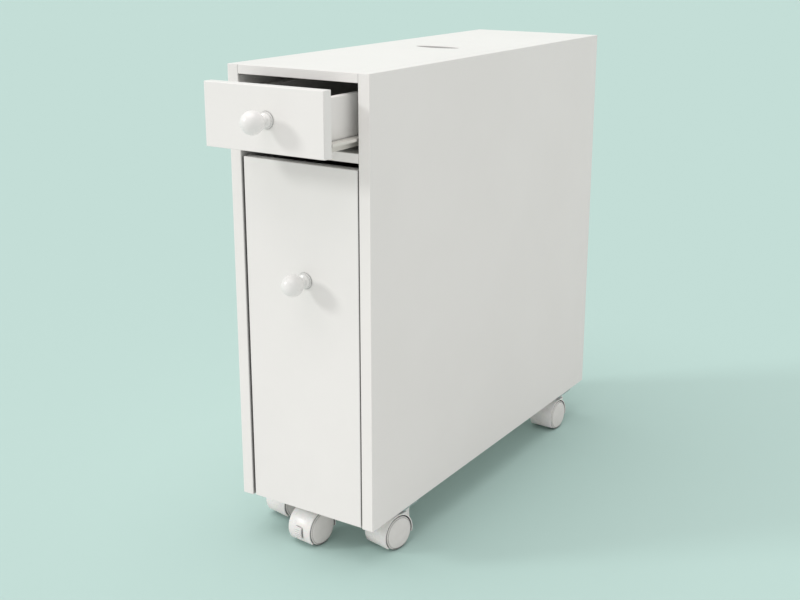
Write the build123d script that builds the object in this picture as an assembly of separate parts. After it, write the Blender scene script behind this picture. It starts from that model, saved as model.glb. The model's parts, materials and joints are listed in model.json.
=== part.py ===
from build123d import *
import math
import os

# Slim storage trolley: a narrow cabinet on casters, with a drawer above a tall pull-out.
# Millimetres. z = 0 is the floor, x = 0 the middle of the width, y grows towards the back.
# The pieces are drawn with y = 0 at the front edge of the side panels, and write() moves them
# so that the origin lies on the floor under the middle of the whole footprint.

# Cabinet boards
width = 183
depth = 550
body_height = 500
side_thickness = 14
board_thickness = 10
front_thickness = 12
box_board = 10
back_thickness = 3
back_inset = 8
groove_depth = 4
panel_play = 0.2
edge_rounding = 1

# Slot through the top
slot_length = 60
slot_width = 22
slot_from_front = 282

# Fronts
drawer_bay_height = 71
front_recess = 1.5
pullout_side_gap = 2.5
drawer_side_gap = 1.5
drawer_front_gap = 1.75
pullout_front_gap = 7.5
drawer_pulled_out = 57
front_to_carcass = 0.5

# Drawer box and pull-out
runner_space = 12.5
box_length = 500
drawer_side_drop = 10.5
thin_bottom = 3
bottom_rise = 5
pullout_wall_height = 70
pullout_back_height = 362
shelf_rise = 195
rod_radius = 3
rod_rise = 45
rod_inset = 8
rod_seat = 5

# Knobs
knob_offset = 5
pullout_knob_height = 274
ball_radius = 12.2
ball_out = 22
neck_radius = 5.2
ring_radius = 8.7
ring_thickness = 1.8
small_ring_radius = 7.4
small_ring_end = 4.2
knob_screw_radius = 2
knob_screw_depth = 12
screw_head_radius = 3.8
screw_head_height = 2.2

# Roller runners
steel = 1
channel_height = 11.5
channel_flange = 10.5
channel_lift = 0.5
rail_above_channel = 5.5
rail_wrap = 11
rail_height = 9.5
rail_flange = 10.5
rail_lip = 3
runner_start = 2
front_roller_radius = 6
roller_width = 7
roller_play = 0.3
front_roller_from_end = 11
rear_roller_from_end = 10
roller_mouth = 22
rivet_radius = 2.5
ear_length = 16
ear_drop = 5
running_fit = 0.05

# Casters
caster_height = 50
wheel_radius = 20
wheel_outer = 17
wheel_cap = 2
wheel_chamfer = 1.2
web_half = 5.5
wheel_gap = 0.6
well_play = 1.3
hood_wall = 1.3
hood_half = 16.4
trail = 16
hood_ground_front = 6
hood_ground_rear = 15
brow_end = 3
neck = 9
neck_low = 21.3
collar_radius = 11
bearing_gap = 0.3
plate_size = 36
plate_thickness = 2
race_radius = 9
race_height = 1.2
stem_radius = 3.5
stem_bottom = 26
plate_corner = 4
axle_radius = 2.5
caster_from_side = 18.5
caster_from_front = 80.5
caster_from_back = 57
middle_caster_x = -9
middle_caster_y = 41
block_size = 46
notch_play = 2

# How far each caster stands turned on its pin, in degrees
turns = {
    "front_left": -10,
    "front_right": -11,
    "rear_left": 4,
    "rear_right": -2.5,
    "middle": -6,
}

# Brake lever on the middle caster
lever_half = 3
lever_eye = 5.6
lever_arm = 3
lever_play = 0.3
lever_travel = 15
tab_half = 5
tab_thickness = 1.7
tab_from = 166
tab_to = 198

# Places that follow from the sizes
opening = width - 2 * side_thickness
opening_half = opening / 2
body_bottom = caster_height
body_top = body_bottom + body_height
ceiling = body_top - board_thickness
divider_top = ceiling - drawer_bay_height
divider_bottom = divider_top - board_thickness
floor_top = body_bottom + board_thickness
drawer_front_half = opening_half - drawer_side_gap
pullout_front_half = opening_half - pullout_side_gap
front_back = front_recess + front_thickness
back_face = depth - back_inset - back_thickness
box_half = opening_half - runner_space
box_end = front_back + box_length
drawer_front_bottom = divider_top + drawer_front_gap
drawer_front_top = ceiling - drawer_front_gap
drawer_knob_height = (drawer_front_bottom + drawer_front_top) / 2
upper_channel = divider_top + channel_lift
lower_channel = floor_top + channel_lift
drawer_box_bottom = upper_channel + rail_above_channel
drawer_box_top = drawer_front_top - drawer_side_drop
pullout_bottom_z = lower_channel + rail_above_channel
pullout_front_top = divider_bottom - pullout_front_gap
shelf_bottom = pullout_bottom_z + shelf_rise
knob_reach = ball_out + ball_radius
footprint_front = drawer_pulled_out - front_recess + knob_reach
cabinet_shift = (footprint_front - depth) / 2

os.makedirs("parts", exist_ok=True)


def write(name, solids, moved=0):
    """Writes one node, in the frame whose origin is under the middle of the footprint."""
    place = Pos(0, cabinet_shift - moved, 0)
    placed = [place * solid for solid in solids]
    shape = placed[0] if len(placed) == 1 else Compound(children=placed)
    export_step(shape, f"parts/{name}.step")


def board(x, y, z):
    """A board between two limits along each axis."""
    size = Box(x[1] - x[0], y[1] - y[0], z[1] - z[0])
    return Pos((x[0] + x[1]) / 2, (y[0] + y[1]) / 2, (z[0] + z[1]) / 2) * size


def bar(radius, start, end, axis):
    """A round bar along one axis, from start to the limit end on that axis."""
    number = "XYZ".index(axis)
    length = end - start[number]
    direction = [(1, 0, 0), (0, 1, 0), (0, 0, 1)][number]
    base = Plane(origin=start, z_dir=direction)
    return base * Cylinder(radius, length, align=(Align.CENTER, Align.CENTER, Align.MIN))


def side_panel(side):
    inner = side * opening_half
    outer = side * width / 2
    panel = board(sorted((inner, outer)), (0, depth), (body_bottom, body_top))
    groove = board(
        sorted((inner - side, inner + side * groove_depth)),
        (back_face, back_face + back_thickness + panel_play),
        (body_bottom - 1, ceiling + groove_depth),
    )
    return panel - groove


def top_panel():
    panel = board((-opening_half, opening_half), (0, depth), (ceiling, body_top))
    slot = extrude(Ellipse(slot_length / 2, slot_width / 2), board_thickness + 2)
    panel -= Pos(0, slot_from_front, ceiling - 1) * slot
    groove = board(
        (-opening_half, opening_half),
        (back_face, back_face + back_thickness + panel_play),
        (ceiling - 1, ceiling + groove_depth),
    )
    return panel - groove


def divider_panel():
    return board(
        (-opening_half, opening_half),
        (0, back_face - panel_play),
        (divider_bottom, divider_top),
    )


def caster_notch():
    """The opening in the cabinet's bottom through which the middle caster's block passes."""
    half = block_size / 2 + notch_play
    return board(
        (middle_caster_x - half, middle_caster_x + half),
        (0, middle_caster_y + half),
        (body_bottom - 1, floor_top + 1),
    )


def corner_casters():
    rows = {"front": caster_from_front, "rear": depth - caster_from_back}
    x = width / 2 - caster_from_side
    sides = {"left": -x, "right": x}
    return [(f"{row}_{side}", sides[side], rows[row]) for row in rows for side in sides]


def bottom_panel():
    panel = board(
        (-opening_half, opening_half),
        (front_back + front_to_carcass, back_face - panel_play),
        (body_bottom, floor_top),
    )
    return panel - caster_notch()


def back_panel():
    half = opening_half + groove_depth - panel_play
    top = ceiling + groove_depth - panel_play
    return board((-half, half), (back_face, back_face + back_thickness), (body_bottom, top))


def front_board(half, bottom, top):
    """A drawer or pull-out front with its outer edges rounded."""
    panel = board((-half, half), (front_recess, front_back), (bottom, top))
    face = panel.faces().sort_by(Axis.Y)[0]
    return fillet(face.edges(), edge_rounding)


def knob_hole(height):
    start = (knob_offset, front_recess - 1, height)
    return bar(knob_screw_radius + running_fit, start, front_back + 1, "Y")


def knob(height):
    """A ball on a neck with two turned rings, hollow for its screw."""
    meet = ball_out - math.sqrt(ball_radius**2 - neck_radius**2)
    outline = Polyline(
        (0, -knob_reach),
        (0, 0),
        (ring_radius, 0),
        (ring_radius, -ring_thickness),
        (small_ring_radius, -ring_thickness),
        (small_ring_radius, -small_ring_end),
        (neck_radius, -small_ring_end - 1),
        (neck_radius, -meet),
    )
    ball = ThreePointArc((neck_radius, -meet), (ball_radius, -ball_out), (0, -knob_reach))
    turned = revolve(make_face(outline + ball), Axis.Y)
    hole = bar(knob_screw_radius + running_fit, (0, -knob_screw_depth - 1, 0), 1, "Y")
    return Pos(knob_offset, front_recess, height) * (turned - hole)


def knob_screw(height):
    start = (knob_offset, front_recess - knob_screw_depth, height)
    shank = bar(knob_screw_radius, start, front_back, "Y")
    head = bar(
        screw_head_radius,
        (knob_offset, front_back, height),
        front_back + screw_head_height,
        "Y",
    )
    return shank + head


def drawer_front():
    panel = front_board(drawer_front_half, drawer_front_bottom, drawer_front_top)
    inner = box_half - box_board + groove_depth
    panel -= board(
        (-inner, inner),
        (front_back - groove_depth, front_back + 1),
        (drawer_box_bottom + bottom_rise, drawer_box_bottom + bottom_rise + thin_bottom + panel_play),
    )
    return panel - knob_hole(drawer_knob_height)


def box_side(side, bottom, top, end):
    inner = side * (box_half - box_board)
    return board(sorted((inner, side * box_half)), (front_back, end), (bottom, top))


def drawer_side(side):
    panel = box_side(side, drawer_box_bottom, drawer_box_top, box_end)
    inner = box_half - box_board
    groove = board(
        sorted((side * (inner - 1), side * (inner + groove_depth))),
        (front_back - 1, box_end + 1),
        (drawer_box_bottom + bottom_rise, drawer_box_bottom + bottom_rise + thin_bottom + panel_play),
    )
    return panel - groove


def drawer_bottom():
    half = box_half - box_board + groove_depth - panel_play
    low = drawer_box_bottom + bottom_rise
    front = front_back - groove_depth + panel_play
    return board((-half, half), (front, box_end), (low, low + thin_bottom))


def drawer_back():
    half = box_half - box_board
    low = drawer_box_bottom + bottom_rise + thin_bottom + panel_play
    return board((-half, half), (box_end - box_board, box_end), (low, drawer_box_top))


def rod_holes(y_from, y_to):
    return [
        bar(rod_radius + running_fit, (x, y_from, rod_height()), y_to, "Y")
        for x in (-box_half + rod_inset, box_half - rod_inset)
    ]


def rod_height():
    return shelf_bottom + board_thickness + rod_rise


def pullout_front():
    panel = front_board(pullout_front_half, body_bottom, pullout_front_top)
    for hole in rod_holes(front_back - rod_seat, front_back + 1):
        panel -= hole
    return panel - knob_hole(body_bottom + pullout_knob_height)


def pullout_side(side):
    top = pullout_bottom_z + pullout_wall_height
    return box_side(side, pullout_bottom_z, top, box_end - box_board)


def pullout_back():
    top = pullout_bottom_z + pullout_back_height
    panel = board((-box_half, box_half), (box_end - box_board, box_end), (pullout_bottom_z, top))
    for hole in rod_holes(box_end - box_board - 1, box_end - box_board + rod_seat):
        panel -= hole
    return panel


def pullout_bottom():
    half = box_half - box_board
    top = pullout_bottom_z + board_thickness
    return board((-half, half), (front_back, box_end - box_board), (pullout_bottom_z, top))


def pullout_shelf():
    top = shelf_bottom + board_thickness
    return board((-box_half, box_half), (front_back, box_end - box_board), (shelf_bottom, top))


def guard_rods():
    start = front_back - rod_seat + panel_play
    end = box_end - box_board + rod_seat - panel_play
    return [
        bar(rod_radius, (x, start, rod_height()), end, "Y")
        for x in (-box_half + rod_inset, box_half - rod_inset)
    ]


def caster_block():
    half = block_size / 2
    return board(
        (middle_caster_x - half, middle_caster_x + half),
        (middle_caster_y - half, middle_caster_y + half),
        (body_bottom, pullout_bottom_z),
    )


def mirrored(shape, side):
    """The right-hand shape as drawn, or its mirror image for the left."""
    return shape if side > 0 else mirror(shape, Plane.YZ)


def section(points, start, length):
    """An outline in x and z, drawn out along y."""
    return extrude(Plane.XZ * make_face(Polyline(*points, close=True)), -length).moved(
        Location((0, start, 0))
    )


front_roller_y = front_back + runner_start + front_roller_from_end
rear_roller_y = box_end - rear_roller_from_end
rear_roller_radius = (channel_height - 2 * steel) / 2 - roller_play


def front_roller_z(channel):
    flange = channel + rail_above_channel + rail_height - steel
    return flange - roller_play - front_roller_radius


def rear_roller_z(channel):
    return channel + channel_height / 2


def cabinet_runner(side, channel):
    """A steel channel on the side panel, open towards the box, with its front rivet."""
    wall = opening_half
    edge = wall - channel_flange
    top = channel + channel_height
    start = front_back + runner_start
    profile = [
        (wall, channel),
        (wall, top),
        (edge, top),
        (edge, top - steel),
        (wall - steel, top - steel),
        (wall - steel, channel + steel),
        (edge, channel + steel),
        (edge, channel),
    ]
    body = section(profile, start, box_length - runner_start)
    body -= board((edge - 1, wall - steel), (start - 1, start + roller_mouth), (top - 2, top + 1))
    height = front_roller_z(channel)
    rivet_end = box_half + steel + 2 * roller_play
    body += bar(rivet_radius, (rivet_end, front_roller_y, height), wall - steel, "X")
    return mirrored(body, side)


def box_runner(side, channel):
    """A steel rail that wraps the box side's lower edge and rides on the front roller."""
    low = channel + rail_above_channel
    high = low + rail_height
    face = box_half
    out = face + rail_flange
    start = front_back + runner_start
    profile = [
        (face - rail_wrap, low),
        (face - rail_wrap, low - steel),
        (face + steel, low - steel),
        (face + steel, high - steel),
        (out - steel, high - steel),
        (out - steel, high - rail_lip),
        (out, high - rail_lip),
        (out, high),
        (face, high),
        (face, low),
    ]
    body = section(profile, start, box_end - start)
    body += board(
        (face, face + steel), (box_end - ear_length, box_end), (low - ear_drop, low)
    )
    height = rear_roller_z(channel)
    rivet_end = face + steel + 2 * roller_play + roller_width
    body += bar(rivet_radius, (face + steel, rear_roller_y, height), rivet_end, "X")
    return mirrored(body, side)


def roller(side, radius, y, z, gap):
    """A roller with its bore, beside the box rail's web."""
    start = (box_half + steel + gap, y, z)
    end = start[0] + roller_width
    body = bar(radius, start, end, "X") - bar(rivet_radius + running_fit, start, end, "X")
    return mirrored(body, side)


def front_rollers(channel):
    z = front_roller_z(channel)
    gap = 2 * roller_play
    return [roller(side, front_roller_radius, front_roller_y, z, gap) for side in (-1, 1)]


def rear_rollers(channel):
    z = rear_roller_z(channel)
    gap = roller_play
    return [roller(side, rear_roller_radius, rear_roller_y, z, gap) for side in (-1, 1)]


housing_top = caster_height - plate_thickness - race_height - bearing_gap
hood_radius = wheel_radius + well_play + hood_wall


def at_caster(shape, x, y, turn):
    """A caster's shape, drawn round its pin, in its place and turned."""
    return Pos(x, y, 0) * Rot(0, 0, turn) * shape


def caster_plate():
    """The screwed plate with its bearing race and the pin that the hood turns on."""
    outline = RectangleRounded(plate_size, plate_size, plate_corner)
    plate = extrude(outline, plate_thickness)
    plate = Pos(0, 0, caster_height - plate_thickness) * plate
    race = (0, 0, caster_height - plate_thickness - race_height)
    plate += bar(race_radius, race, caster_height - plate_thickness, "Z")
    return plate + bar(stem_radius, (0, 0, stem_bottom), caster_height - plate_thickness, "Z")


def across(radius, half, y, z):
    """A round shape along x, centred on the caster."""
    return bar(radius, (-half, y, z), half, "X")


def lever_shape(play):
    """The brake lever's eye and arm, or the room for them where play is given."""
    eye = across(lever_eye + play, lever_half + play, 0, 0)
    reach = hood_radius + play + 1
    arm = board(
        (-lever_half - play, lever_half + play),
        (-reach, 0),
        (-lever_arm - play, lever_arm + play),
    )
    return eye + arm


def lever_room():
    """The space that the lever sweeps between the two cheeks of the web."""
    steps = 3
    room = lever_shape(lever_play)
    for i in range(1, steps + 1):
        room += Rot(lever_travel * i / steps, 0, 0) * lever_shape(lever_play)
    return Pos(0, -trail, wheel_radius) * room


def caster_hood(with_brake):
    """The hood over both wheels, the web between them and the collar round the pin."""
    top = wheel_radius + hood_radius
    hood = across(hood_radius, hood_half, -trail, wheel_radius)
    hood += board((-hood_half, hood_half), (-trail, -brow_end), (wheel_radius, top))
    hood += board((-neck, neck), (-trail, neck), (neck_low, top))
    hood += bar(collar_radius, (0, 0, top - 2), housing_top, "Z")
    for side in (-1, 1):
        well = across(wheel_radius + well_play, hood_half, -trail, wheel_radius)
        hood -= Pos(side * (hood_half + web_half), 0, 0) * well
    reach = hood_radius + neck
    under = wheel_radius - reach
    hood -= board((-hood_half, hood_half), (-trail - reach, reach), (under, hood_ground_front))
    hood -= board((-hood_half, hood_half), (-trail, reach), (under, hood_ground_rear))
    pin = stem_radius + running_fit
    hood -= bar(pin, (0, 0, stem_bottom - 1), caster_height, "Z")
    hood -= across(axle_radius + running_fit, hood_half, -trail, wheel_radius)
    if with_brake:
        hood -= lever_room()
    return hood


def brake_lever():
    """A lever on the axle, with a curved foot tab outside the hood."""
    inner = hood_radius + lever_play
    outer = inner + tab_thickness
    ring = across(outer, tab_half, 0, 0) - across(inner, tab_half, 0, 0)
    far = 2 * outer
    wedge = Polyline(
        (0, 0),
        (far * math.cos(math.radians(tab_from)), far * math.sin(math.radians(tab_from))),
        (far * math.cos(math.radians(tab_to)), far * math.sin(math.radians(tab_to))),
        close=True,
    )
    cut = extrude(Plane.YZ * make_face(wedge), tab_half, both=True)
    lever = lever_shape(0) + (ring & cut)
    lever -= across(axle_radius + running_fit, tab_half, 0, 0)
    return Pos(0, -trail, wheel_radius) * lever


def caster_axle():
    return across(axle_radius, wheel_outer - wheel_cap, -trail, wheel_radius)


def caster_wheel(side):
    """One of the twin wheels, closed on its outer side and pressed on the axle."""
    inner = web_half + wheel_gap
    bore_end = wheel_outer - wheel_cap
    outline = Polyline(
        (inner, axle_radius),
        (inner, wheel_radius),
        (wheel_outer - wheel_chamfer, wheel_radius),
        (wheel_outer, wheel_radius - wheel_chamfer),
        (wheel_outer, 0),
        (bore_end, 0),
        (bore_end, axle_radius),
        close=True,
    )
    wheel = revolve(make_face(outline), Axis.X)
    return Pos(0, -trail, wheel_radius) * mirrored(wheel, side)


def write_cabinet():
    write("left_side_panel", [side_panel(-1)])
    write("right_side_panel", [side_panel(1)])
    write("top_panel", [top_panel()])
    write("divider_panel", [divider_panel()])
    write("bottom_panel", [bottom_panel()])
    write("back_panel", [back_panel()])


def write_drawer():
    out = drawer_pulled_out
    write("drawer_front", [drawer_front()], out)
    write("drawer_left_side", [drawer_side(-1)], out)
    write("drawer_right_side", [drawer_side(1)], out)
    write("drawer_back", [drawer_back()], out)
    write("drawer_bottom", [drawer_bottom()], out)
    write("drawer_knob", [knob(drawer_knob_height)], out)
    write("drawer_knob_screw", [knob_screw(drawer_knob_height)], out)
    write("drawer_left_runner", [box_runner(-1, upper_channel)], out)
    write("drawer_right_runner", [box_runner(1, upper_channel)], out)
    write("drawer_rollers", rear_rollers(upper_channel), out)


def write_pullout():
    height = body_bottom + pullout_knob_height
    write("pullout_front", [pullout_front()])
    write("pullout_left_side", [pullout_side(-1)])
    write("pullout_right_side", [pullout_side(1)])
    write("pullout_back", [pullout_back()])
    write("pullout_bottom", [pullout_bottom()])
    write("pullout_shelf", [pullout_shelf()])
    write("pullout_guard_rods", guard_rods())
    write("pullout_knob", [knob(height)])
    write("pullout_knob_screw", [knob_screw(height)])
    write("pullout_caster_block", [caster_block()])
    write("pullout_left_runner", [box_runner(-1, lower_channel)])
    write("pullout_right_runner", [box_runner(1, lower_channel)])
    write("pullout_rollers", rear_rollers(lower_channel))


def write_cabinet_runners():
    for level, channel in (("upper", upper_channel), ("lower", lower_channel)):
        write(f"{level}_left_channel", [cabinet_runner(-1, channel)])
        write(f"{level}_right_channel", [cabinet_runner(1, channel)])
        write(f"{level}_front_rollers", front_rollers(channel))


def write_casters():
    places = corner_casters() + [("middle", middle_caster_x, middle_caster_y)]
    for name, x, y in places:
        turn = turns[name]
        hood = caster_hood(name == "middle")
        wheels = [at_caster(caster_wheel(side), x, y, turn) for side in (-1, 1)]
        write(f"{name}_caster_plate", [at_caster(caster_plate(), x, y, 0)])
        write(f"{name}_caster_hood", [at_caster(hood, x, y, turn)])
        write(f"{name}_caster_axle", [at_caster(caster_axle(), x, y, turn)])
        write(f"{name}_caster_wheels", wheels)
    lever = at_caster(brake_lever(), middle_caster_x, middle_caster_y, turns["middle"])
    write("brake_lever", [lever])


write_cabinet()
write_drawer()
write_pullout()
write_cabinet_runners()
write_casters()
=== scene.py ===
import json
import math

import bmesh
import bpy
from mathutils import Matrix, Vector

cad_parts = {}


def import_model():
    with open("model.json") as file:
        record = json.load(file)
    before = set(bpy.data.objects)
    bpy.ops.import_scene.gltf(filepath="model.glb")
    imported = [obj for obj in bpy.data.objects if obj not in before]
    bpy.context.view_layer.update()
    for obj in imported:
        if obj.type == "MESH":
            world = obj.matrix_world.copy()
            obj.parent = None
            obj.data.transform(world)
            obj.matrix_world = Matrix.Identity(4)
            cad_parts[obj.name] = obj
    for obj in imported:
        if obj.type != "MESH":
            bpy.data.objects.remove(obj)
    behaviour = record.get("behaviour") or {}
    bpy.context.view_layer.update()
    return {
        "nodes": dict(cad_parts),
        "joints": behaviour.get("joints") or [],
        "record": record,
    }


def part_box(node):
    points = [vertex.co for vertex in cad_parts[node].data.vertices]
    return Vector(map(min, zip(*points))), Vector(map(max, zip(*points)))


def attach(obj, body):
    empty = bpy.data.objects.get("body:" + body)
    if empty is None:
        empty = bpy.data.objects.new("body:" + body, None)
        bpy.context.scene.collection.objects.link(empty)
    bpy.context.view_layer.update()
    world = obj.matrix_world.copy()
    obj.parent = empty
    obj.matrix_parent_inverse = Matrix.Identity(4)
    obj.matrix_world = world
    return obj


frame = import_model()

record = frame["record"]
nodes = frame["nodes"]
joints = {joint["name"]: joint for joint in frame["joints"]}

MM = 0.001
# Tone of the painted shade on the faces inside the carcass and the drawer.
HOLLOW_SHADE_TONE = 0.6
CASTERS = ("front_left", "front_right", "rear_left", "rear_right", "middle")


# materials

class Finish:
    """A principled material whose colour, gloss and bump come from noise in object space."""

    def __init__(self, name, roughness, metallic=0.0, coat=0.0, specular=0.5):
        self.material = bpy.data.materials.new(name)
        self.material.use_nodes = True
        self.tree = self.material.node_tree
        self.shader = self.tree.nodes["Principled BSDF"]
        self.shader.inputs["Roughness"].default_value = roughness
        self.shader.inputs["Metallic"].default_value = metallic
        self.shader.inputs["Coat Weight"].default_value = coat
        self.shader.inputs["Coat Roughness"].default_value = 0.12
        self.shader.inputs["Specular IOR Level"].default_value = specular
        self.place = self.tree.nodes.new("ShaderNodeTexCoord").outputs["Object"]
        self.normal = None

    def noise(self, grain, detail=3.0, stretch=(1, 1, 1)):
        """Noise whose features are about grain metres wide, longer along an axis where stretch is large."""
        mapping = self.tree.nodes.new("ShaderNodeMapping")
        mapping.inputs["Scale"].default_value = [1 / (grain * s) for s in stretch]
        self.tree.links.new(self.place, mapping.inputs["Vector"])
        noise = self.tree.nodes.new("ShaderNodeTexNoise")
        noise.inputs["Scale"].default_value = 1.0
        noise.inputs["Detail"].default_value = detail
        self.tree.links.new(mapping.outputs["Vector"], noise.inputs["Vector"])
        return noise.outputs["Fac"]

    def ramp(self, factor, low, high, low_at=0.35, high_at=0.65):
        ramp = self.tree.nodes.new("ShaderNodeValToRGB")
        ramp.color_ramp.elements[0].position = low_at
        ramp.color_ramp.elements[1].position = high_at
        ramp.color_ramp.elements[0].color = (*low, 1)
        ramp.color_ramp.elements[1].color = (*high, 1)
        self.tree.links.new(factor, ramp.inputs["Fac"])
        return ramp.outputs["Color"]

    def colour(self, factor, low, high):
        self.tint = self.ramp(factor, low, high)
        self.tree.links.new(self.tint, self.shader.inputs["Base Color"])

    def darken(self, factor, tone, low_at, high_at):
        """Multiplies the colour by tone where the factor is low, and leaves it where it is high."""
        shaded = self.tree.nodes.new("ShaderNodeMix")
        shaded.data_type = "RGBA"
        shaded.blend_type = "MULTIPLY"
        shaded.inputs["Factor"].default_value = 1
        self.tree.links.new(self.tint, shaded.inputs["A"])
        tones = self.ramp(factor, (tone,) * 3, (1, 1, 1), low_at, high_at)
        self.tree.links.new(tones, shaded.inputs["B"])
        self.tint = shaded.outputs["Result"]
        self.tree.links.new(self.tint, self.shader.inputs["Base Color"])

    def paint_seam_shade(self, reach, tone, narrow=0.25, wide=0.8):
        """Painted shade, with a little dust, in joints and inner corners: the colour is darkened fully where openness
        is at narrow, not at wide.
        """
        open_air = self.tree.nodes.new("ShaderNodeAmbientOcclusion")
        open_air.samples = 8
        open_air.inputs["Distance"].default_value = reach
        self.darken(open_air.outputs["AO"], tone, narrow, wide)

    def paint_hollow_shade(self, hollow, tone):
        """Painted shade: darkens the faces in the hollow between two corners, where little light reaches."""
        low, high = (Vector(corner) for corner in hollow)
        place = self.place
        for operation, other in (
            ("SUBTRACT", (low + high) / 2), ("ABSOLUTE", None), ("DIVIDE", (high - low) / 2),
        ):
            step = self.tree.nodes.new("ShaderNodeVectorMath")
            step.operation = operation
            self.tree.links.new(place, step.inputs[0])
            if other:
                step.inputs[1].default_value = other
            place = step.outputs["Vector"]
        apart = self.tree.nodes.new("ShaderNodeSeparateXYZ")
        self.tree.links.new(place, apart.inputs["Vector"])
        reach = apart.outputs["X"]
        for axis in "YZ":
            furthest = self.tree.nodes.new("ShaderNodeMath")
            furthest.operation = "MAXIMUM"
            self.tree.links.new(reach, furthest.inputs[0])
            self.tree.links.new(apart.outputs[axis], furthest.inputs[1])
            reach = furthest.outputs["Value"]
        self.darken(reach, tone, 0.9995, 1)

    def gloss(self, factor, low, high):
        spread = self.tree.nodes.new("ShaderNodeMapRange")
        spread.inputs["From Min"].default_value = 0.3
        spread.inputs["From Max"].default_value = 0.7
        spread.inputs["To Min"].default_value = low
        spread.inputs["To Max"].default_value = high
        self.tree.links.new(factor, spread.inputs["Value"])
        self.tree.links.new(spread.outputs["Result"], self.shader.inputs["Roughness"])

    def relief(self, factor, depth, strength=1.0):
        """Adds bump of the given depth in metres on top of what is there."""
        bump = self.tree.nodes.new("ShaderNodeBump")
        bump.inputs["Distance"].default_value = depth
        bump.inputs["Strength"].default_value = strength
        self.tree.links.new(factor, bump.inputs["Height"])
        if self.normal:
            self.tree.links.new(self.normal, bump.inputs["Normal"])
        self.normal = bump.outputs["Normal"]
        self.tree.links.new(self.normal, self.shader.inputs["Normal"])


def foil_board(name="white_board", hollow=None):
    """Satin white foil on board: an even paper-white with a faint pebbled press texture."""
    finish = Finish(name, 0.42, specular=0.3)
    finish.colour(finish.noise(0.12, 3), (0.872, 0.868, 0.850), (0.888, 0.885, 0.868))
    # Painted shade: faces inside the hollow are darkened.
    if hollow:
        finish.paint_hollow_shade(hollow, HOLLOW_SHADE_TONE)
    # Painted shade in joints and inner corners, with a little dust.
    finish.paint_seam_shade(0.004, 0.3, 0.4, 0.8)
    finish.gloss(finish.noise(0.012), 0.38, 0.5)
    finish.relief(finish.noise(0.0022, 2), 0.00004, 0.35)
    finish.relief(finish.noise(0.0006, 1), 0.00001, 0.3)
    return finish.material


def painted_front():
    """Sprayed fibreboard: smoother than the foil, with a long, shallow orange peel."""
    finish = Finish("front_board", 0.36, coat=0.05, specular=0.35)
    finish.colour(finish.noise(0.07, 3), (0.868, 0.866, 0.850), (0.882, 0.880, 0.864))
    # Painted shade in joints and inner corners, with a little dust.
    finish.paint_seam_shade(0.004, 0.3, 0.4, 0.8)
    finish.gloss(finish.noise(0.018), 0.33, 0.43)
    finish.relief(finish.noise(0.0035, 1), 0.00005, 0.3)
    return finish.material


def hardboard(name="hardboard", hollow=None):
    """White-faced hardboard with the faint mesh that its press leaves."""
    finish = Finish(name, 0.62, specular=0.3)
    finish.colour(finish.noise(0.09, 3), (0.825, 0.82, 0.805), (0.85, 0.846, 0.832))
    # Painted shade: faces inside the hollow are darkened.
    if hollow:
        finish.paint_hollow_shade(hollow, HOLLOW_SHADE_TONE)
    weave = finish.tree.nodes.new("ShaderNodeTexWave")
    weave.bands_direction = "X"
    weave.inputs["Scale"].default_value = 260
    weave.inputs["Distortion"].default_value = 1.5
    finish.tree.links.new(finish.place, weave.inputs["Vector"])
    finish.relief(weave.outputs["Fac"], 0.00002, 0.25)
    finish.relief(finish.noise(0.0012, 3), 0.00003, 0.4)
    return finish.material


def painted_knob():
    """Turned wood under several coats: glossier, with faint rings left by the lathe."""
    finish = Finish("knob_paint", 0.3, coat=0.25, specular=0.5)
    finish.colour(finish.noise(0.02, 3), (0.868, 0.866, 0.855), (0.892, 0.891, 0.882))
    # Painted shade where the knob meets the front, with a little dust.
    finish.paint_seam_shade(0.004, 0.5)
    finish.gloss(finish.noise(0.006), 0.26, 0.36)
    finish.relief(finish.noise(0.0012, 2, stretch=(3, 0.4, 3)), 0.00002, 0.35)
    return finish.material


def coated_steel():
    """Cream powder coat on the roller runners, with worn, greyer tracks."""
    finish = Finish("runner_steel", 0.4, specular=0.5)
    finish.colour(finish.noise(0.02, 4, stretch=(1, 8, 1)), (0.74, 0.73, 0.685), (0.80, 0.79, 0.75))
    # Painted shade in the runner's inner corners, with a little dust.
    finish.paint_seam_shade(0.004, 0.5)
    finish.gloss(finish.noise(0.004), 0.32, 0.5)
    finish.relief(finish.noise(0.0007, 2), 0.00003, 0.45)
    return finish.material


def nylon():
    """Natural white nylon rollers, matt with turned lines."""
    finish = Finish("nylon", 0.48, specular=0.4)
    finish.shader.inputs["Subsurface Weight"].default_value = 0.15
    finish.shader.inputs["Subsurface Scale"].default_value = 0.002
    finish.colour(finish.noise(0.006), (0.80, 0.80, 0.78), (0.88, 0.88, 0.86))
    finish.relief(finish.noise(0.0006, 2, stretch=(0.4, 3, 3)), 0.00003, 0.4)
    return finish.material


def bright_steel():
    """Zinc-plated bar and screws with drawing lines along them."""
    finish = Finish("bright_steel", 0.3, metallic=1.0)
    finish.colour(finish.noise(0.004, 4), (0.52, 0.53, 0.54), (0.72, 0.72, 0.72))
    finish.gloss(finish.noise(0.0008, 3, stretch=(1, 12, 1)), 0.22, 0.42)
    finish.relief(finish.noise(0.0004, 2, stretch=(1, 20, 1)), 0.00001, 0.4)
    return finish.material


def plated_steel():
    """Pressed, zinc-plated sheet with cloudy spangle."""
    finish = Finish("plated_steel", 0.38, metallic=1.0)
    finish.colour(finish.noise(0.006, 5), (0.42, 0.43, 0.44), (0.68, 0.68, 0.69))
    finish.gloss(finish.noise(0.003, 4), 0.28, 0.5)
    finish.relief(finish.noise(0.0009, 3), 0.00002, 0.4)
    return finish.material


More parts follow.
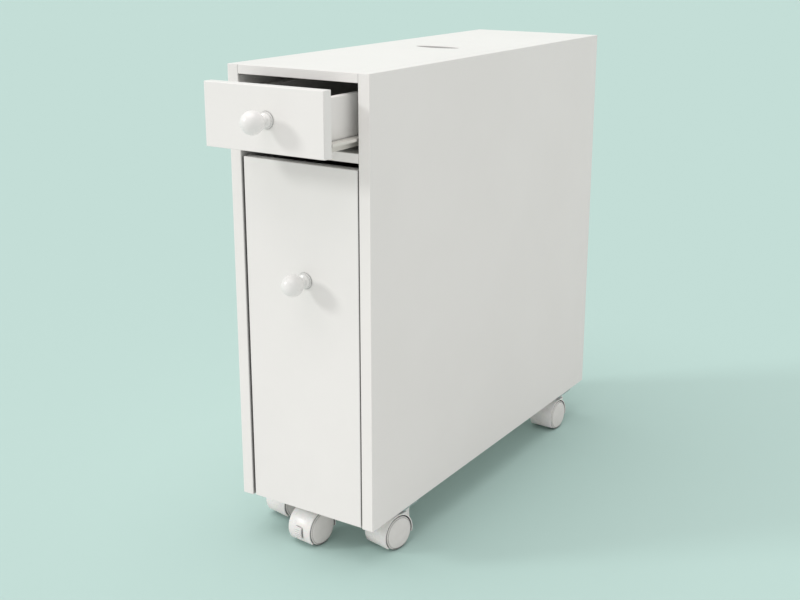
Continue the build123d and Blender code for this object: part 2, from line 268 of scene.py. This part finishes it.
def hood_plastic():
    """Glossy white moulding of the caster hoods, slightly wavy as such thin walls are."""
    finish = Finish("caster_plastic", 0.3, specular=0.5)
    finish.shader.inputs["Subsurface Weight"].default_value = 0.08
    finish.shader.inputs["Subsurface Scale"].default_value = 0.002
    finish.colour(finish.noise(0.015, 3), (0.845, 0.842, 0.828), (0.885, 0.883, 0.872))
    # Painted shade, strong, in the gap between hood and wheel and in other inner corners.
    finish.paint_seam_shade(0.005, 0.12, 0.35, 0.85)
    finish.gloss(finish.noise(0.004), 0.24, 0.38)
    finish.relief(finish.noise(0.008, 1), 0.00008, 0.3)
    finish.relief(finish.noise(0.0005, 1), 0.00001, 0.3)
    return finish.material


def wheel_plastic():
    """Matt nylon of the wheels, a little greyer, scuffed round the tread."""
    finish = Finish("wheel_plastic", 0.45, specular=0.4)
    finish.colour(finish.noise(0.01, 3), (0.80, 0.792, 0.772), (0.83, 0.823, 0.805))
    # Painted shade, strong, in the gap between wheel and hood and in other inner corners.
    finish.paint_seam_shade(0.005, 0.12, 0.35, 0.85)
    finish.gloss(finish.noise(0.0025), 0.36, 0.56)
    finish.relief(finish.noise(0.0008, 3), 0.00004, 0.45)
    return finish.material


materials = {
    "white_board": foil_board(),
    "front_board": painted_front(),
    "hardboard": hardboard(),
    "knob_paint": painted_knob(),
    "runner_steel": coated_steel(),
    "nylon": nylon(),
    "bright_steel": bright_steel(),
    "plated_steel": plated_steel(),
    "caster_plastic": hood_plastic(),
    "wheel_plastic": wheel_plastic(),
}


carcass_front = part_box("left_side_panel")[0].y
# The hollows inside the carcass and the drawer, and the wall of the slot in the top, whose faces get painted shade.
hollows = {
    "carcass": (
        (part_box("left_side_panel")[1].x - 0.2 * MM, carcass_front + 1 * MM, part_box("bottom_panel")[0].z + 1 * MM),
        (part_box("right_side_panel")[0].x + 0.2 * MM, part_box("back_panel")[0].y + 0.2 * MM,
         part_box("top_panel")[1].z - 0.1 * MM),
    ),
    "drawer": (
        (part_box("drawer_left_side")[1].x - 0.2 * MM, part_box("drawer_left_side")[0].y,
         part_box("drawer_bottom")[1].z - 0.2 * MM),
        (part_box("drawer_right_side")[0].x + 0.2 * MM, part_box("drawer_back")[0].y + 0.2 * MM,
         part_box("drawer_left_side")[1].z),
    ),
}
for body, hollow in hollows.items():
    materials[f"{body}_white_board"] = foil_board(f"{body}_white_board", hollow)
    materials[f"{body}_hardboard"] = hardboard(f"{body}_hardboard", hollow)

edge_rounding = {
    "white_board": 0.6 * MM,
    "front_board": 0.3 * MM,
    "hardboard": 0.2 * MM,
    "knob_paint": 0.35 * MM,
    "runner_steel": 0.2 * MM,
    "nylon": 0.25 * MM,
    "bright_steel": 0.2 * MM,
    "plated_steel": 0.25 * MM,
    "caster_plastic": 0.3 * MM,
    "wheel_plastic": 0.5 * MM,
}


def soften(piece, width):
    """Rounds a piece's sharp edges, as no real edge is a knife."""
    weld = piece.modifiers.new("join_facets", "WELD")
    weld.merge_threshold = 0.002 * MM
    bevel = piece.modifiers.new("rounded_edges", "BEVEL")
    bevel.width = width
    bevel.segments = 2
    bevel.limit_method = "ANGLE"
    bevel.angle_limit = math.radians(38)
    bevel.harden_normals = True


def dress_cad_nodes():
    bodies = {name: body for body, names in record["behaviour"]["bodies"].items() for name in names}
    for part in record["subparts"]:
        node = nodes[part["node"]]
        name = part["material_slot"]
        material = materials.get(f"{bodies[part['node']]}_{name}", materials[name])
        if not node.material_slots:
            node.data.materials.append(material)
        for slot in node.material_slots:
            slot.material = material
        soften(node, edge_rounding[name])


# scene pieces

def mesh_piece(name, mesh, slot, body, place=Matrix.Identity(4)):
    """A new piece that takes its material from one of the record's slots and rides on a body."""
    if not mesh.materials:
        mesh.materials.append(materials[slot])
    piece = bpy.data.objects.new(name, mesh)
    bpy.context.scene.collection.objects.link(piece)
    piece.matrix_world = place
    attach(piece, body)
    return piece


def turned_mesh(name, profile, steps=48):
    """Spins a profile of (radius, height) points round +Z."""
    shape = bmesh.new()
    points = [shape.verts.new((radius, 0, height)) for radius, height in profile]
    edges = [shape.edges.new(pair) for pair in zip(points, points[1:])]
    bmesh.ops.spin(
        shape, geom=points + edges, cent=(0, 0, 0), axis=(0, 0, 1),
        angle=math.tau, steps=steps, use_duplicate=False,
    )
    bmesh.ops.remove_doubles(shape, verts=shape.verts, dist=1e-7)
    bmesh.ops.recalc_face_normals(shape, faces=shape.faces)
    for face in shape.faces:
        face.smooth = True
    mesh = bpy.data.meshes.new(name)
    shape.to_mesh(mesh)
    shape.free()
    return mesh


def pointing(place, direction):
    """A placement whose +Z points along direction."""
    turn = Vector(direction).to_track_quat("Z", "Y").to_matrix().to_4x4()
    return Matrix.Translation(place) @ turn


def cross_head(name, radius, height):
    """A domed screw head with a cross recess, standing on z = 0."""
    rise = [(radius * math.sin(a), height * math.cos(a)) for a in
            [math.radians(6 * i) for i in range(15)]]
    mesh = turned_mesh(name, [(0, height)] + rise[1:] + [(radius, 0), (0, 0)], 32)
    head = bpy.data.objects.new(name, mesh)
    bpy.context.scene.collection.objects.link(head)
    cutter_shape = bmesh.new()
    for along in ((radius * 1.1, radius * 0.24), (radius * 0.24, radius * 1.1)):
        size = Matrix.Diagonal((*along, height * 1.2, 1))
        lift = Matrix.Translation((0, 0, height * 1.05))
        bmesh.ops.create_cube(cutter_shape, size=1, matrix=lift @ size)
    cutter_mesh = bpy.data.meshes.new(name + "_cross")
    cutter_shape.to_mesh(cutter_mesh)
    cutter_shape.free()
    cutter = bpy.data.objects.new(name + "_cross", cutter_mesh)
    bpy.context.scene.collection.objects.link(cutter)
    recess = head.modifiers.new("recess", "BOOLEAN")
    recess.object = cutter
    recess.use_self = True
    graph = bpy.context.evaluated_depsgraph_get()
    cut = bpy.data.meshes.new_from_object(head.evaluated_get(graph))
    bpy.data.objects.remove(head)
    bpy.data.objects.remove(cutter)
    cut.name = name
    return cut


def caster_screws():
    """Four cross-head screws under each caster plate."""
    spread = 12.5 * MM
    head = cross_head("caster_screw_head", 3.2 * MM, 1.7 * MM)
    for caster in CASTERS:
        low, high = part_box(f"{caster}_caster_plate")
        under = high.z - 2 * MM
        middle = (low + high) / 2
        body = "pullout" if caster == "middle" else "carcass"
        for i in (-1, 1):
            for j in (-1, 1):
                place = Vector((middle.x + i * spread, middle.y + j * spread, under))
                name = f"{caster}_screw_{'lr'[i > 0]}{'fb'[j > 0]}"
                mesh_piece(name, head, "bright_steel", body, pointing(place, (0, 0, -1)))


def channel_screws():
    """Three screws through the web of each channel into the cabinet's side."""
    head = cross_head("channel_screw_head", 2.7 * MM, 1.2 * MM)
    for level in ("upper", "lower"):
        for side, inward in (("left", 1), ("right", -1)):
            low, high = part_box(f"{level}_{side}_channel")
            web = (low.x if inward > 0 else high.x) + inward * MM
            height = (low.z + high.z) / 2
            for number, along in enumerate((48, 245, 452), 1):
                place = Vector((web, low.y + along * MM, height))
                name = f"{level}_{side}_channel_screw_{number}"
                mesh_piece(name, head, "bright_steel", "carcass", pointing(place, (inward, 0, 0)))


def rail_screws():
    """Three flush screws through the web of each rail into the box's side."""
    head = cross_head("rail_screw_head", 2.6 * MM, 0.3 * MM)
    for body in ("drawer", "pullout"):
        for side, outward in (("left", -1), ("right", 1)):
            low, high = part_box(f"{body}_{side}_runner")
            flange = low.x if outward < 0 else high.x
            web = flange - outward * 9.5 * MM
            for number, along in enumerate((90, 250, 440), 1):
                place = Vector((web, low.y + along * MM, high.z - 5.6 * MM))
                name = f"{body}_{side}_runner_screw_{number}"
                mesh_piece(name, head, "bright_steel", body, pointing(place, (outward, 0, 0)))


def back_pins():
    """Small pins that hold the back to the edges of the divider and of the bottom."""
    profile = [(0, 0.45), (0.7, 0.42), (1.2, 0.3), (1.5, 0.12), (1.55, 0), (0, 0)]
    pin = turned_mesh("back_pin", [(r * MM, h * MM) for r, h in profile], 24)
    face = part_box("back_panel")[1].y
    for board in ("divider", "bottom"):
        low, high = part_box(f"{board}_panel")
        height = (low.z + high.z) / 2
        for number, x in enumerate((-66, -22, 22, 66), 1):
            place = pointing(Vector((x * MM, face, height)), (0, 1, 0))
            mesh_piece(f"{board}_back_pin_{number}", pin, "bright_steel", "carcass", place)


def reach_from(joint, node):
    """A node's furthest vertex from a joint's axle: along it, and out from it."""
    centre, axle = Vector(joint["pos_m"]), Vector(joint["axis"])
    along, out = 0, 0
    for vertex in nodes[node].data.vertices:
        arm = vertex.co - centre
        along = max(along, abs(arm.dot(axle)))
        out = max(out, arm.cross(axle).length)
    return along, out


def wheel_caps():
    """The shallow dome on the outer face of each wheel."""
    rim, rise, steps = 18.6, 1.4, 14
    shares = [step / steps for step in range(steps)]
    profile = [(rim * share, rise * (1 - share**2.6)) for share in shares]
    profile += [(rim, 0), (0, 0)]
    cap = turned_mesh("wheel_cap", [(r * MM, h * MM) for r, h in profile], 64)
    for caster in CASTERS:
        spin = joints[f"{caster}_wheels_spin"]
        centre, axle = Vector(spin["pos_m"]), Vector(spin["axis"])
        face = reach_from(spin, f"{caster}_caster_wheels")[0]
        for side, out in (("left", -1), ("right", 1)):
            place = pointing(centre + out * face * axle, out * axle)
            mesh_piece(f"{caster}_{side}_wheel_cap", cap, "wheel_plastic", f"{caster}_wheels", place)


def brake_ribs():
    """Raised ribs across the foot tab of the brake lever."""
    press = joints["brake_lever_press"]
    centre, axle = Vector(press["pos_m"]), Vector(press["axis"])
    back = Vector((0, 0, 1)).cross(axle)
    surface = reach_from(press, "brake_lever")[1]
    radius, half = 0.6, 4
    ends = [math.radians(15 * i) for i in range(7)]
    profile = [(radius * math.sin(a), half + radius * math.cos(a)) for a in ends]
    profile += [(r, -h) for r, h in reversed(profile)]
    rib = turned_mesh("brake_rib", [(r * MM, h * MM) for r, h in profile], 20)
    for number, degrees in enumerate((171, 177, 183, 189, 195), 1):
        angle = math.radians(degrees)
        place = centre + surface * (back * math.cos(angle) + Vector((0, 0, math.sin(angle))))
        mesh_piece(f"brake_rib_{number}", rib, "caster_plastic", "brake_lever", pointing(place, axle))


dress_cad_nodes()
caster_screws()
channel_screws()
rail_screws()
back_pins()
wheel_caps()
brake_ribs()


# stage, light and camera

BACKDROP = (0.552, 0.7305, 0.6795)


def shown_to_camera(tree, seen, otherwise):
    """Mixes two colours: one for what the camera, gloss and glass see, one for diffuse light."""
    path = tree.nodes.new("ShaderNodeLightPath")
    total = path.outputs["Is Camera Ray"]
    for ray in ("Is Glossy Ray", "Is Transmission Ray"):
        add = tree.nodes.new("ShaderNodeMath")
        add.operation = "MAXIMUM"
        tree.links.new(total, add.inputs[0])
        tree.links.new(path.outputs[ray], add.inputs[1])
        total = add.outputs["Value"]
    mix = tree.nodes.new("ShaderNodeMix")
    mix.data_type = "RGBA"
    tree.links.new(total, mix.inputs["Factor"])
    mix.inputs["A"].default_value = (*otherwise, 1)
    mix.inputs["B"].default_value = (*seen, 1)
    return mix.outputs["Result"]


def floor():
    bpy.ops.mesh.primitive_plane_add(size=60, location=(0, 0, 0))
    plane = bpy.context.object
    plane.name = "floor"
    material = bpy.data.materials.new("floor")
    material.use_nodes = True
    shader = material.node_tree.nodes["Principled BSDF"]
    shader.inputs["Roughness"].default_value = 0.9
    shader.inputs["Specular IOR Level"].default_value = 0.1
    seen = tuple(c / light for c, light in zip(BACKDROP, floor_light))
    colour = shown_to_camera(material.node_tree, seen, (0.705, 0.73, 0.715))
    material.node_tree.links.new(colour, shader.inputs["Base Color"])
    plane.data.materials.append(material)


def world():
    bpy.context.scene.world = bpy.data.worlds.new("studio")
    bpy.context.scene.world.use_nodes = True
    tree = bpy.context.scene.world.node_tree
    colour = shown_to_camera(tree, BACKDROP, (0.645, 0.64, 0.63))
    tree.links.new(colour, tree.nodes["Background"].inputs["Color"])


def sun(name, towards, strength, spread, colour=(1, 1, 1)):
    """A soft lamp, where towards is the direction from the object to it."""
    lamp = bpy.data.lights.new(name, "SUN")
    lamp.energy = strength
    lamp.angle = math.radians(spread)
    lamp.color = colour
    holder = bpy.data.objects.new(name, lamp)
    holder.rotation_mode = "QUATERNION"
    holder.rotation_quaternion = Vector(towards).to_track_quat("Z", "Y")
    bpy.context.scene.collection.objects.link(holder)


def camera():
    focal_pixels = 1185.3
    image_width = 800
    lens = bpy.data.cameras.new("camera")
    lens.sensor_width = 36
    lens.lens = focal_pixels / image_width * lens.sensor_width
    lens.shift_y = -32 / image_width
    lens.clip_start = 0.05
    holder = bpy.data.objects.new("camera", lens)
    holder.location = (0.7529, -1.1990, 0.6836)
    holder.rotation_euler = (math.radians(90 - 15.794), 0, math.radians(32.853))
    bpy.context.scene.collection.objects.link(holder)
    bpy.context.scene.camera = holder


floor_light = (1.149, 1.100, 1.086)
floor()
world()
sun("key", (-0.69, -0.61, 0.42), 0.85, 12, (1, 0.995, 0.98))
sun("overhead", (-0.1, -0.15, 1), 1.23, 60, (1, 0.892, 0.89))
camera()
bpy.context.scene.view_settings.view_transform = "Standard"
